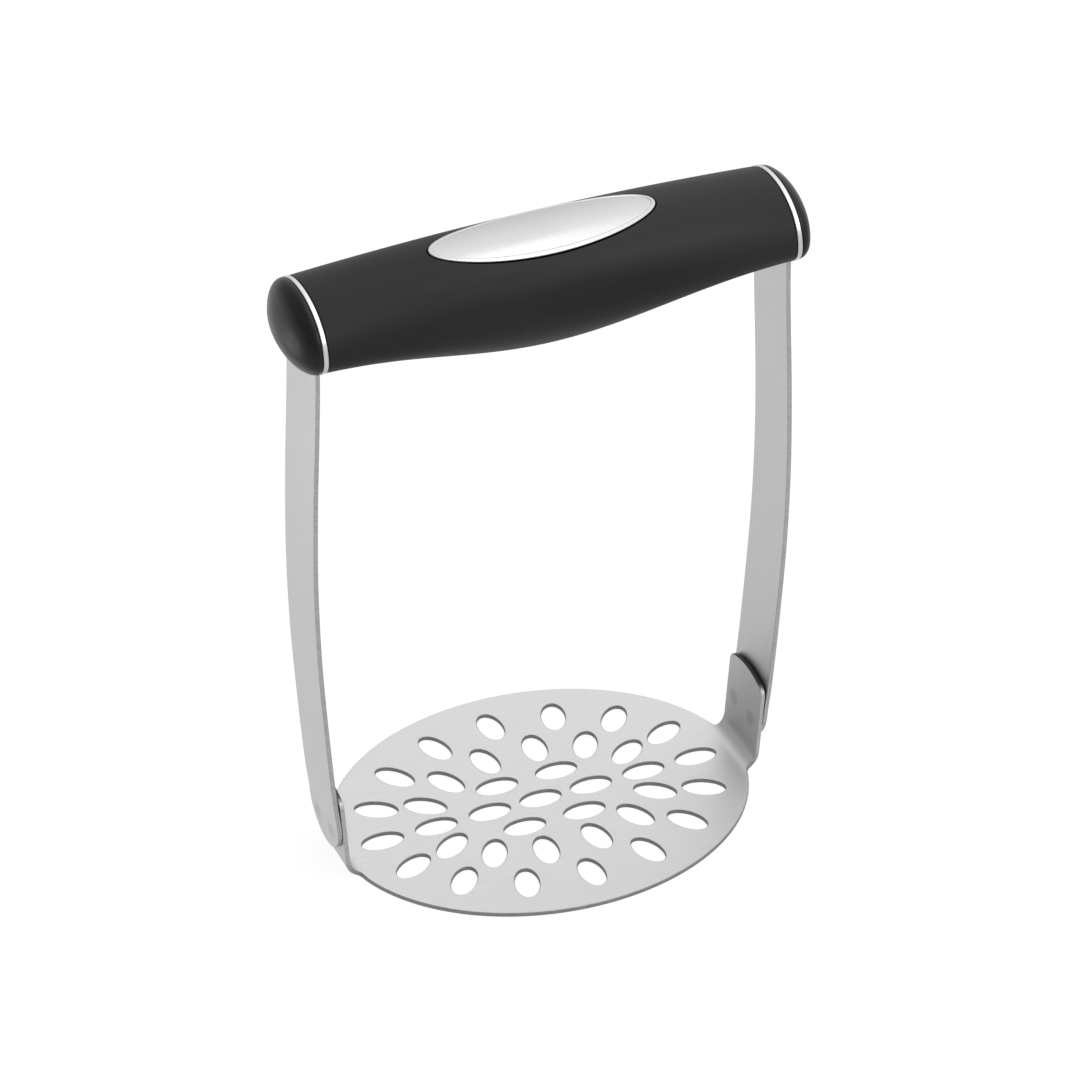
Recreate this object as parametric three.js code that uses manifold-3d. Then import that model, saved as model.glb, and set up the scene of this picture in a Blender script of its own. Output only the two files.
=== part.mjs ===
// Hand masher: an oval perforated plate with a turned-up tab at each end, two
// bowed strap arms spot-welded to the tabs, and a cross handle between them.
// Millimetres, +Z up. The origin is on the ground under the middle of the plate.
// X runs along the handle and Y from front to back. Both halves are mirror images.
import * as THREE from 'three';
import { mergeVertices } from 'three/addons/utils/BufferGeometryUtils.js';
import Module from 'manifold-3d';

const wasm = await Module();
wasm.setup();

// ---------------------------------------------------------------- dimensions
const SHEET = 1.2;            // stainless sheet of the plate and the arms
const GAP = 0.3;              // clearance kept between neighbouring pieces
const OVERCUT = 1;            // how far a cutting shape runs past what it cuts
const ROUND = { large: 24, medium: 16, screw: 10 };   // sides of a full circle

const PLATE = {
  halfLength: 53.6,           // ellipse half-axis along X
  halfWidth: 43.2,            // ellipse half-axis along Y
  steps: 48,
};

const HOLE = {
  halfLength: 5.46,           // each hole is an ellipse
  halfWidth: 3.07,
  steps: 12,
};

// Two rings of holes on ellipses, and a group of seven in the middle.
const OUTER_RING = { count: 16, a: 42.45, b: 31.55 };
const INNER_RING = { count: 14, a: 30.5, b: 19.7, onAxis: 28.1 };
const CENTRE_HOLES = { along: 13.7, diagonalX: 8.05, diagonalY: 8.75 };

const TAB = {
  bendX: 51.0,                // where the bend begins
  innerRadius: 3.6,
  relief: 0.5,                // width of the slit on each side of a bend
  lean: THREE.MathUtils.degToRad(4),
  topZ: SHEET + 24.3,         // height of the crown of its rounded top edge
  topRadius: 22,
  steps: 10,
};

const ARM = {
  width: 18.4,
  footZ: SHEET + 4.8,         // lowest point of the round foot
  weldedLength: 12,           // stretch that lies along the tab
  headX: 59.9,                // middle of the sheet where it stands upright in the handle
  bowX: [58.35, 59.8, 61.15, 61.6, 61.2, 60.35],
  bowZ: [26, 45, 68, 90, 112, 133],
  steps: 40,
  footSteps: 20,
};

const HANDLE = {
  axisZ: SHEET + 156,
  endHalfWidth: 15.0, midHalfWidth: 15.7,
  endUp: 11.5, midUp: 13.9,
  endDown: 7.8, midDown: 16.3,
  upPower: 2.1,               // powers of the superellipse: 2 is an ellipse, more is squarer
  downPower: 2.05,
  around: 36,
};
const HEAD_PROUD = 0.15;      // arm head stands this far out of the grip, all round

const GRIP = { wall: 2.6, rings: 20, innerRings: 9 };
const CORE = { rings: 10, boreRadius: 4.0, boreZ: 1.4, pilotRadius: 1.8, pilotDepth: 17 };
const CAP = {
  depth: 5.6, power: 1.9, wall: 2.0, rings: 6,
  flatFrom: THREE.MathUtils.degToRad(84),   // the dome ends in a small flat past this angle
  pegRadius: 3.65, pegLength: 12,
};
const SCREW = {
  y: 8.2,
  headRadius: 2.7, headHeight: 1.7, headSide: 0.75, headTopRadius: 1.6,
  shankRadius: 1.15, threadRadius: 1.5, length: 14, threads: 4,
  point: 2, neck: 1,          // tapered end, and plain stretch under the head
  slotWidth: 0.7, slotLength: 3.2, slotDepth: 0.7,
};
const THREAD = { crest: 0.3, root: 0.6 };   // where they fall within one pitch
const BADGE = {
  halfLength: 28.5, halfWidth: 8.8, forward: 0.7,   // it sits a little to the front
  thickness: 1.2, proud: 0.25, steps: 24,
  pad: 0.3, padMargin: 2, overrun: 4,
};
const WELD = { radius: 2.0, bite: 0.4, y: 4.6, along: 8.2 };

// ----------------------------------------------------------------- materials
function metal(colour, roughness) {
  return new THREE.MeshStandardMaterial({ color: colour, roughness, metalness: 1 });
}

function plastic(colour, roughness) {
  return new THREE.MeshStandardMaterial({ color: colour, roughness, metalness: 0 });
}

// ------------------------------------------------------------ solid modelling
const X = new THREE.Vector3(1, 0, 0);
const Y = new THREE.Vector3(0, 1, 0);
const Z = new THREE.Vector3(0, 0, 1);
const XZ_ALONG_Y = new THREE.Matrix4().makeBasis(X, Z, Y.clone().negate());
const YZ_ALONG_X = new THREE.Matrix4().makeBasis(Y, Z, X);

function toSolid(source) {
  const bare = source.index ? source.clone() : source;
  bare.deleteAttribute('normal');
  bare.deleteAttribute('uv');
  const merged = mergeVertices(bare, 1e-4);
  return new wasm.Manifold(new wasm.Mesh({
    numProp: 3,
    vertProperties: new Float32Array(merged.attributes.position.array),
    triVerts: new Uint32Array(merged.index.array),
  }));
}

function toGeometry(solid) {
  const mesh = solid.getMesh();
  const geometry = new THREE.BufferGeometry();
  geometry.setAttribute('position', new THREE.Float32BufferAttribute(mesh.vertProperties, 3));
  geometry.setIndex(Array.from(mesh.triVerts));
  geometry.computeVertexNormals();
  return geometry;
}

// Flat outline drawn in XY, given a thickness from z0 to z1.
function slab(shape, z0, z1, steps) {
  const options = { depth: z1 - z0, bevelEnabled: false, curveSegments: steps };
  return new THREE.ExtrudeGeometry(shape, options).translate(0, 0, z0);
}

// Outline drawn in X and Z, running across the object from -halfWidth to halfWidth in Y.
function acrossY(shape, halfWidth, steps) {
  return slab(shape, -halfWidth, halfWidth, steps).applyMatrix4(XZ_ALONG_Y);
}

// Outline drawn in Y and Z, running along X from x0 to x1.
function alongX(shape, x0, x1, steps) {
  return slab(shape, x0, x1, steps).applyMatrix4(YZ_ALONG_X);
}

function cylinderAlongX(radius, x0, x1, y, z, steps) {
  const length = x1 - x0;
  const cylinder = new THREE.CylinderGeometry(radius, radius, length, steps);
  return cylinder.rotateZ(-Math.PI / 2).translate((x0 + x1) / 2, y, z);
}

// Skin through rings of points that all have the same count and run the same way
// round +X. A closed skin joins the last ring to the first; an open one gets flat ends.
function loft(rings, closed) {
  const count = rings[0].length;
  const points = rings.flat();
  const index = [];
  const last = closed ? rings.length : rings.length - 1;
  for (let i = 0; i < last; i += 1) {
    const here = i * count;
    const there = ((i + 1) % rings.length) * count;
    for (let j = 0; j < count; j += 1) {
      const k = (j + 1) % count;
      index.push(here + j, here + k, there + k, here + j, there + k, there + j);
    }
  }
  if (!closed) {
    const end = (rings.length - 1) * count;
    for (let j = 1; j < count - 1; j += 1) {
      index.push(0, j + 1, j);
      index.push(end, end + j, end + j + 1);
    }
  }
  const geometry = new THREE.BufferGeometry().setFromPoints(points);
  geometry.setIndex(index);
  return geometry;
}

function mirrored(source) {
  const geometry = source.clone().scale(-1, 1, 1);
  const index = Array.from(geometry.index.array);
  for (let i = 0; i < index.length; i += 3) {
    [index[i + 1], index[i + 2]] = [index[i + 2], index[i + 1]];
  }
  geometry.setIndex(index);
  geometry.computeVertexNormals();
  return geometry;
}

// ------------------------------------------------------------- handle section
const { lerp } = THREE.MathUtils;
const GRIP_END = ARM.headX - SHEET / 2 - GAP;
const CAP_BASE = ARM.headX + SHEET / 2 + GAP;
const BORE_Z = HANDLE.axisZ + CORE.boreZ;

function handleSection(x) {
  const u = Math.min(Math.abs(x) / ARM.headX, 1);
  const crown = 1 - u * u;
  const belly = 0.5 * (1 + Math.cos(Math.PI * u));
  return {
    halfWidth: lerp(HANDLE.endHalfWidth, HANDLE.midHalfWidth, crown),
    up: lerp(HANDLE.endUp, HANDLE.midUp, crown),
    down: lerp(HANDLE.endDown, HANDLE.midDown, belly),
  };
}

function powered(value, power) {
  return Math.sign(value) * Math.abs(value) ** (2 / power);
}

// Point of a handle section in Y and Z, at an angle that turns from +Y towards +Z.
function sectionPoint(section, angle, inset) {
  const upper = Math.sin(angle) >= 0;
  const power = upper ? HANDLE.upPower : HANDLE.downPower;
  const height = (upper ? section.up : section.down) - inset;
  const y = (section.halfWidth - inset) * powered(Math.cos(angle), power);
  const z = height * powered(Math.sin(angle), power);
  return new THREE.Vector2(y, z);
}

function sectionRing(x, inset = 0, scale = 1) {
  const section = handleSection(x);
  const ring = [];
  for (let i = 0; i < HANDLE.around; i += 1) {
    const point = sectionPoint(section, (i * 2 * Math.PI) / HANDLE.around, inset);
    ring.push(new THREE.Vector3(x, point.x * scale, HANDLE.axisZ + point.y * scale));
  }
  return ring;
}

function ringsBetween(x0, x1, count, inset) {
  return Array.from({ length: count }, (_, i) => sectionRing(lerp(x0, x1, i / (count - 1)), inset));
}

// --------------------------------------------------------------- mashing plate
function holeShape(x, y, angle) {
  const shape = new THREE.Shape();
  shape.absellipse(x, y, HOLE.halfLength, HOLE.halfWidth, 0, 2 * Math.PI, false, angle);
  return shape;
}

// Ring holes point straight out of the ellipse that they stand on.
function ringHole({ a, b }, t) {
  const normal = Math.atan2(a * Math.sin(t), b * Math.cos(t));
  return holeShape(a * Math.cos(t), b * Math.sin(t), normal);
}

function allHoles() {
  const holes = [];
  for (let i = 0; i < OUTER_RING.count; i += 1) {
    holes.push(ringHole(OUTER_RING, (i * 2 * Math.PI) / OUTER_RING.count));
  }
  for (let i = 0; i < INNER_RING.count; i += 1) {
    const onAxis = i % (INNER_RING.count / 2) === 0;
    const a = onAxis ? INNER_RING.onAxis : INNER_RING.a;
    holes.push(ringHole({ a, b: INNER_RING.b }, (i * 2 * Math.PI) / INNER_RING.count));
  }
  holes.push(holeShape(0, 0, 0));
  for (const side of [-1, 1]) {
    holes.push(holeShape(side * CENTRE_HOLES.along, 0, 0));
    holes.push(holeShape(side * CENTRE_HOLES.diagonalX, CENTRE_HOLES.diagonalY, 0));
    holes.push(holeShape(side * CENTRE_HOLES.diagonalX, -CENTRE_HOLES.diagonalY, 0));
  }
  return holes;
}

const BEND_CENTRE = new THREE.Vector2(TAB.bendX, SHEET + TAB.innerRadius);
const LEAN_UP = new THREE.Vector2(Math.sin(TAB.lean), Math.cos(TAB.lean));
const LEAN_OUT = new THREE.Vector2(Math.cos(TAB.lean), -Math.sin(TAB.lean));

// Point in X and Z beside the bend: `out` from its centre square to the tab, `up` along it.
function besideTab(out, up) {
  return BEND_CENTRE.clone().addScaledVector(LEAN_OUT, out).addScaledVector(LEAN_UP, up);
}

function tabSolid() {
  const inner = TAB.innerRadius;
  const outer = inner + SHEET;
  const reach = TAB.topZ + SHEET;
  const rootX = TAB.bendX - SHEET;
  const topInner = besideTab(inner, reach);
  const topOuter = besideTab(outer, reach);
  const profile = new THREE.Shape();
  profile.moveTo(rootX, 0);
  profile.lineTo(TAB.bendX, 0);
  profile.absarc(BEND_CENTRE.x, BEND_CENTRE.y, outer, -Math.PI / 2, -TAB.lean, false);
  profile.lineTo(topOuter.x, topOuter.y);
  profile.lineTo(topInner.x, topInner.y);
  profile.absarc(BEND_CENTRE.x, BEND_CENTRE.y, inner, -TAB.lean, -Math.PI / 2, true);
  profile.lineTo(rootX, SHEET);
  profile.closePath();
  const half = ARM.width / 2;
  const swing = Math.asin(half / TAB.topRadius);
  const outline = new THREE.Shape();
  outline.moveTo(-half, -SHEET);
  outline.lineTo(half, -SHEET);
  const topCentre = TAB.topZ - TAB.topRadius;
  outline.absarc(0, topCentre, TAB.topRadius, Math.PI / 2 - swing, Math.PI / 2 + swing, false);
  outline.closePath();
  const bent = toSolid(acrossY(profile, half + OVERCUT, TAB.steps));
  return bent.intersect(toSolid(alongX(outline, rootX - OVERCUT, ARM.headX, TAB.steps)));
}

// Plug of the spot weld and, when grown by a clearance, the pocket it sits in.
function weldPlug(y, clearance) {
  const faceOut = TAB.innerRadius + SHEET;
  const depth = 2 * (WELD.bite + clearance) + GAP;
  const centre = besideTab(faceOut + GAP / 2, WELD.along);
  const radius = WELD.radius + clearance;
  const plug = new THREE.CylinderGeometry(radius, radius, depth, ROUND.medium);
  plug.rotateZ(-Math.PI / 2).rotateY(TAB.lean);
  return plug.translate(centre.x, y, centre.y);
}

function cutWeldPockets(solid) {
  const front = toSolid(weldPlug(-WELD.y, GAP));
  const back = toSolid(weldPlug(WELD.y, GAP));
  return solid.subtract(front).subtract(back);
}

function platePiece() {
  const disc = new THREE.Shape();
  disc.absellipse(0, 0, PLATE.halfLength, PLATE.halfWidth, 0, 2 * Math.PI, false, 0);
  let flat = toSolid(slab(disc, 0, SHEET, PLATE.steps));
  // slits free the two bent strips from the rest of the ellipse
  const slit = new THREE.BoxGeometry(PLATE.halfLength, ARM.width + 2 * TAB.relief, 4 * SHEET);
  for (const side of [-1, 1]) {
    const x = side * (TAB.bendX + PLATE.halfLength / 2);
    flat = flat.subtract(toSolid(slit.clone().translate(x, 0, 0)));
  }
  for (const hole of allHoles()) {
    flat = flat.subtract(toSolid(slab(hole, -SHEET, 2 * SHEET, HOLE.steps)));
  }
  const tab = cutWeldPockets(tabSolid());
  const otherTab = toSolid(mirrored(toGeometry(tab)));
  return toGeometry(flat.add(tab).add(otherTab));
}

// ------------------------------------------------------------------------ arms
// Middle line of the strap in X and Z: along the tab, out in a bow, upright in the handle.
function armLine() {
  const middle = TAB.innerRadius + SHEET + GAP + SHEET / 2;
  const points = [besideTab(middle, 0), besideTab(middle, ARM.weldedLength)];
  ARM.bowX.forEach((x, i) => points.push(new THREE.Vector2(x, ARM.bowZ[i])));
  points.push(new THREE.Vector2(ARM.headX, HANDLE.axisZ - HANDLE.endDown - SHEET));
  points.push(new THREE.Vector2(ARM.headX, HANDLE.axisZ + HANDLE.endUp + SHEET));
  return new THREE.SplineCurve(points);
}

function strapProfile() {
  const line = armLine();
  const inner = [];
  const outer = [];
  for (let i = 0; i <= ARM.steps; i += 1) {
    const at = line.getPointAt(i / ARM.steps);
    const along = line.getTangentAt(i / ARM.steps);
    const side = new THREE.Vector2(along.y, -along.x).multiplyScalar(SHEET / 2);
    inner.push(at.clone().sub(side));
    outer.push(at.clone().add(side));
  }
  return new THREE.Shape([...outer, ...inner.reverse()]);
}

function headOutline() {
  const section = handleSection(ARM.headX);
  const points = [];
  for (let i = 0; i < HANDLE.around; i += 1) {
    const point = sectionPoint(section, (i * 2 * Math.PI) / HANDLE.around, -HEAD_PROUD);
    points.push(new THREE.Vector2(point.x, HANDLE.axisZ + point.y));
  }
  return new THREE.Shape(points);
}

function strapOutline() {
  const half = ARM.width / 2;
  const outline = new THREE.Shape();
  outline.moveTo(half, HANDLE.axisZ);
  outline.lineTo(-half, HANDLE.axisZ);
  outline.absarc(0, ARM.footZ + half, half, Math.PI, 2 * Math.PI, false);
  outline.closePath();
  return outline;
}

function armPiece() {
  const x0 = TAB.bendX;
  const x1 = Math.max(...ARM.bowX) + SHEET + OVERCUT;
  const sheet = toSolid(acrossY(strapProfile(), HANDLE.midHalfWidth, 1));
  const strap = toSolid(alongX(strapOutline(), x0, x1, ARM.footSteps));
  const head = toSolid(alongX(headOutline(), x0, x1, 1));
  let arm = cutWeldPockets(sheet.intersect(strap.add(head)));
  arm = arm.subtract(toSolid(cylinderAlongX(CORE.boreRadius, x0, x1, 0, BORE_Z, ROUND.large)));
  for (const y of [-SCREW.y, SCREW.y]) {
    arm = arm.subtract(toSolid(cylinderAlongX(CORE.pilotRadius, x0, x1, y, BORE_Z, ROUND.medium)));
  }
  return toGeometry(arm);
}

// ---------------------------------------------------------------------- handle
function corePiece() {
  const inset = GRIP.wall + GAP;
  const out = GRIP_END + OVERCUT;
  const deep = GRIP_END - CORE.pilotDepth;
  let core = toSolid(loft(ringsBetween(-GRIP_END, GRIP_END, CORE.rings, inset), false));
  core = core.subtract(toSolid(cylinderAlongX(CORE.boreRadius, -out, out, 0, BORE_Z, ROUND.large)));
  for (const y of [-SCREW.y, SCREW.y]) {
    for (const [from, to] of [[-out, -deep], [deep, out]]) {
      const hole = cylinderAlongX(CORE.pilotRadius, from, to, y, BORE_Z, ROUND.medium);
      core = core.subtract(toSolid(hole));
    }
  }
  return toGeometry(core);
}

// Solid layer of the handle between two depths below its skin, kept inside an oval
// as seen from above. A negative depth stands proud of the skin.
function crownLayer(top, bottom, halfLength, halfWidth) {
  const reach = BADGE.halfLength + BADGE.overrun;
  const skin = ringsBetween(-reach, reach, GRIP.innerRings, top);
  const floor = ringsBetween(-reach, reach, GRIP.innerRings, bottom).reverse();
  const layer = toSolid(loft([...skin, ...floor], true));
  const oval = new THREE.Shape();
  oval.absellipse(0, -BADGE.forward, halfLength, halfWidth, 0, 2 * Math.PI, false, 0);
  const above = HANDLE.axisZ + 3 * HANDLE.midUp;
  return layer.intersect(toSolid(slab(oval, HANDLE.axisZ, above, BADGE.steps)));
}

const BADGE_FLOOR = BADGE.thickness - BADGE.proud;
const PAD_FLOOR = BADGE_FLOOR + GAP + BADGE.pad;

function gripPiece() {
  const skin = ringsBetween(-GRIP_END, GRIP_END, GRIP.rings, 0);
  const bore = ringsBetween(GRIP_END, -GRIP_END, GRIP.innerRings, GRIP.wall);
  const sleeve = toSolid(loft([...skin, ...bore], true));
  const halfLength = BADGE.halfLength + GAP;
  const halfWidth = BADGE.halfWidth + GAP;
  const recess = crownLayer(-HANDLE.midUp, PAD_FLOOR + GAP, halfLength, halfWidth);
  return toGeometry(sleeve.subtract(recess));
}

function badgePiece() {
  return toGeometry(crownLayer(-BADGE.proud, BADGE_FLOOR, BADGE.halfLength, BADGE.halfWidth));
}

function padPiece() {
  const halfLength = BADGE.halfLength - BADGE.padMargin;
  const halfWidth = BADGE.halfWidth - BADGE.padMargin;
  return toGeometry(crownLayer(BADGE_FLOOR + GAP, PAD_FLOOR, halfLength, halfWidth));
}

// Rings of a dome that starts upright at `x0` and closes over `depth` further out.
function domeRings(x0, depth, inset) {
  const rings = [];
  for (let i = 0; i <= CAP.rings; i += 1) {
    const angle = (i / CAP.rings) * CAP.flatFrom;
    const x = x0 + depth * powered(Math.sin(angle), CAP.power);
    rings.push(sectionRing(x, inset, powered(Math.cos(angle), CAP.power)));
  }
  return rings;
}

function capPiece() {
  const hollow = CAP.depth - CAP.wall;
  const dome = toSolid(loft(domeRings(CAP_BASE, CAP.depth, 0), false));
  const mouth = sectionRing(CAP_BASE - OVERCUT, CAP.wall);
  const inside = toSolid(loft([mouth, ...domeRings(CAP_BASE, hollow, CAP.wall)], false));
  const pegFrom = CAP_BASE - CAP.pegLength;
  const pegTo = CAP_BASE + hollow + CAP.wall / 2;
  const peg = toSolid(cylinderAlongX(CAP.pegRadius, pegFrom, pegTo, 0, BORE_Z, ROUND.large));
  return toGeometry(dome.subtract(inside).add(peg));
}

// ------------------------------------------------------------------- fasteners
// Pan-head self-tapping screw along X, with the underside of its head at x = 0.
function screwPiece() {
  const threaded = SCREW.length - SCREW.point - SCREW.neck;
  const pitch = threaded / SCREW.threads;
  const start = SCREW.point - SCREW.length;
  const profile = [[0, -SCREW.length], [SCREW.shankRadius, start]];
  for (let i = 0; i < SCREW.threads; i += 1) {
    profile.push([SCREW.threadRadius, start + (i + THREAD.crest) * pitch]);
    profile.push([SCREW.shankRadius, start + (i + THREAD.root) * pitch]);
  }
  profile.push([SCREW.shankRadius, 0]);
  profile.push([SCREW.headRadius, 0]);
  profile.push([SCREW.headRadius, SCREW.headSide]);
  profile.push([SCREW.headTopRadius, SCREW.headHeight]);
  profile.push([0, SCREW.headHeight]);
  const outline = profile.map(([radius, height]) => new THREE.Vector2(radius, height));
  let screw = toSolid(new THREE.LatheGeometry(outline, ROUND.screw).rotateZ(-Math.PI / 2));
  const depth = 2 * SCREW.slotDepth;
  for (const [y, z] of [[SCREW.slotWidth, SCREW.slotLength], [SCREW.slotLength, SCREW.slotWidth]]) {
    const slot = new THREE.BoxGeometry(depth, y, z).translate(SCREW.headHeight, 0, 0);
    screw = screw.subtract(toSolid(slot));
  }
  return toGeometry(screw);
}

function weldNugget() {
  const length = 2 * WELD.bite + GAP;
  const plug = new THREE.CylinderGeometry(WELD.radius, WELD.radius, length, ROUND.medium);
  return plug.rotateZ(-Math.PI / 2);
}

// ------------------------------------------------------------------- assembly
const steel = () => metal(0xd2d2d2, 0.34);
const group = new THREE.Group();

function place(name, geometry, material) {
  const mesh = new THREE.Mesh(geometry, material);
  mesh.name = name;
  group.add(mesh);
  return mesh;
}

place('mashing_plate', platePiece(), steel());
place('handle_core', corePiece(), plastic(0x4a4a4a, 0.6));
place('grip_sleeve', gripPiece(), plastic(0x2c2c2c, 0.62));
place('badge_adhesive', padPiece(), plastic(0x202020, 0.9));
place('badge_plate', badgePiece(), metal(0xe4e4e4, 0.16));

const rightArm = armPiece();
const rightCap = capPiece();
place('right_arm', rightArm, steel());
place('left_arm', mirrored(rightArm), steel());
place('right_end_cap', rightCap, plastic(0x161616, 0.3));
place('left_end_cap', mirrored(rightCap), plastic(0x161616, 0.3));

const screw = screwPiece();
const nugget = weldNugget();
const weldAt = besideTab(TAB.innerRadius + SHEET + GAP / 2, WELD.along);
for (const [sideName, side] of [['left', -1], ['right', 1]]) {
  for (const [depthName, depth] of [['front', -1], ['back', 1]]) {
    const screwMesh = place(`${sideName}_${depthName}_screw`, screw, metal(0xb8b8b8, 0.4));
    screwMesh.position.set(side * CAP_BASE, depth * SCREW.y, BORE_Z);
    screwMesh.rotation.z = side < 0 ? Math.PI : 0;
    const weldMesh = place(`${sideName}_${depthName}_weld_nugget`, nugget, metal(0x9a9a9a, 0.5));
    weldMesh.position.set(side * weldAt.x, depth * WELD.y, weldAt.y);
    weldMesh.rotation.y = side * TAB.lean;
  }
}

export default group;
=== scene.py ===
"""Looks of the hand masher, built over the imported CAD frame.

Lengths in this file are millimetres until a mesh is made; the frame is in metres.
X runs along the handle, Y from front to back, Z up from the ground.
"""
import math
import bmesh
import bpy
import numpy as np
from mathutils import Matrix, Vector
from mathutils.geometry import delaunay_2d_cdt


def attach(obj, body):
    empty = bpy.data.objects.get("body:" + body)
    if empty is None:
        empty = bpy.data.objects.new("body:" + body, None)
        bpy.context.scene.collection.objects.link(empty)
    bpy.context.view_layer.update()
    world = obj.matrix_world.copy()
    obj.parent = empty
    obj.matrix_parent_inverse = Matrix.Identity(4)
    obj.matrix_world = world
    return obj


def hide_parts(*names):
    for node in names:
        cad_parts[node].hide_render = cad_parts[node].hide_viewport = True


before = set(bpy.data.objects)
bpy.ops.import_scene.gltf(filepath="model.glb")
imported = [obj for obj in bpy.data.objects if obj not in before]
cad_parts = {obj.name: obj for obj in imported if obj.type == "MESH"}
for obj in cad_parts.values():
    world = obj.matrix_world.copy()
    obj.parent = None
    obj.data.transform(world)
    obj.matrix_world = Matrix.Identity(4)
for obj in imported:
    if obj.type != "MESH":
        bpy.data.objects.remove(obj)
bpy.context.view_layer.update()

# ---------------------------------------------------------------- dimensions
MM = 0.001
SHEET = 1.2                    # thickness of the plate and the arms
GAP = 0.3                      # clearance between neighbouring pieces
SEAM = 0.08                    # hairline left where pieces touch in the real object

PLATE_LENGTH, PLATE_WIDTH = 53.6, 43.2          # half-axes of the oval plate
HOLE_LENGTH, HOLE_WIDTH = 5.46, 3.07            # half-axes of each hole
OUTER_COUNT, OUTER_A, OUTER_B = 16, 42.45, 31.55
INNER_COUNT, INNER_A, INNER_B, INNER_ON_AXIS = 14, 30.5, 19.7, 28.1
CENTRE_ALONG, CENTRE_DIAGONAL_X, CENTRE_DIAGONAL_Y = 13.7, 8.05, 8.75

BEND_X, BEND_RADIUS = 51.0, 3.6                 # start and inner radius of the bends
TAB_LEAN = math.radians(4)
TAB_TOP, TAB_TOP_RADIUS = SHEET + 24.3, 22.0
SHOULDER = 1.1                 # reach of the curve where the plate's rim runs into a tab
TAB_CORNER = 1.6

ARM_WIDTH = 18.4
FOOT_Z = SHEET + 4.8
WELDED_LENGTH = 12.0
HEAD_X = 59.9
BOW_X = (58.35, 59.8, 61.15, 61.6, 61.2, 60.35)
BOW_Z = (26, 45, 68, 90, 112, 133)
HEAD_PROUD = 0.15
NECK_CORNER = 1.4

AXIS_Z = SHEET + 156
END_HALF_WIDTH, MID_HALF_WIDTH = 15.0, 15.7
END_UP, MID_UP = 11.5, 13.9
END_DOWN, MID_DOWN = 7.8, 16.3
UP_POWER, DOWN_POWER = 2.1, 2.05
GRIP_WALL = 2.6
GRIP_END = HEAD_X - SHEET / 2 - SEAM
GRIP_ROUND = 0.4               # radius at the two ends of the grip
BORE_Z, BORE_RADIUS = 1.4, 4.0
PILOT_Y, PILOT_RADIUS = 8.2, 1.8

CAP_BASE = HEAD_X + SHEET / 2 + SEAM
CAP_DEPTH, CAP_POWER, CAP_WALL = 5.6, 1.9, 2.0
CAP_ROUND = 0.25
PEG_RADIUS, PEG_LENGTH = 3.65, 12.0

BADGE_LENGTH, BADGE_WIDTH, BADGE_Y = 28.5, 8.8, -0.7
BADGE_TOP, BADGE_BOTTOM = 0.25, -0.95           # above and below the grip's skin
BADGE_ROUND = 0.3
BADGE_RIM = 1.0                # width of the raised rim
BADGE_STEP = 0.13              # height of the rim above the face
RECESS_DEPTH = 1.85
RECESS_LIP = 0.25

GRIP_STEPS, GRIP_AROUND = 118, 144              # rings and points in the mesh of the grip
CROWN_STEPS = 200              # points in each ring round the badge
CAP_AROUND, PEG_AROUND = 160, 48

SHEET_EDGE = 0.25              # radius of the deburred edges of plate and arms
# greys of the cut edges of the sheet: the sheared steel's own grey, darkened on the plate's rim and hole
# walls and almost black on the tab tops as painted shade, and raised on the tab sides as painted light
RIM_EDGE_PAINTED_SHADE, HOLE_EDGE_PAINTED_SHADE, TAB_SIDE_EDGE_PAINTED_LIGHT, TAB_TOP_PAINTED_SHADOW = 0.22, 0.19, 0.40, 0.06
ARM_EDGE, POLISHED_EDGE = 0.36, 0.50


# ---------------------------------------------------------------- mesh making
# A patch is an array of vertices and a list of faces. Each vertex holds its place,
# its normal, its place on the flat sheet, how far it is a cut edge, and the grey and
# the polish of that edge.
def rows(place, normal, flat=None, cut=0.0, edge=(0.0, 0.0)):
    count = len(place)
    flat = np.zeros((count, 2)) if flat is None else flat
    marks = np.column_stack([np.full(count, cut), np.zeros((count, 2)) + edge])
    return np.column_stack([place, normal, flat, marks])


def ring_faces(ring_count, count):
    faces = []
    for i in range(ring_count - 1):
        for j in range(count):
            k = (j + 1) % count
            faces.append((i * count + j, i * count + k, (i + 1) * count + k, (i + 1) * count + j))
    return faces


def skin_of_rings(rings):
    return np.concatenate(rings), ring_faces(len(rings), len(rings[0]))


def fan(ring, place, normal):
    """Closes a ring with triangles to one point."""
    count = len(ring)
    hub = ring[:1].copy()
    hub[0, 0:3], hub[0, 3:6] = place, normal
    faces = [(j, (j + 1) % count, count) for j in range(count)]
    return np.concatenate([ring, hub]), faces


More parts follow.
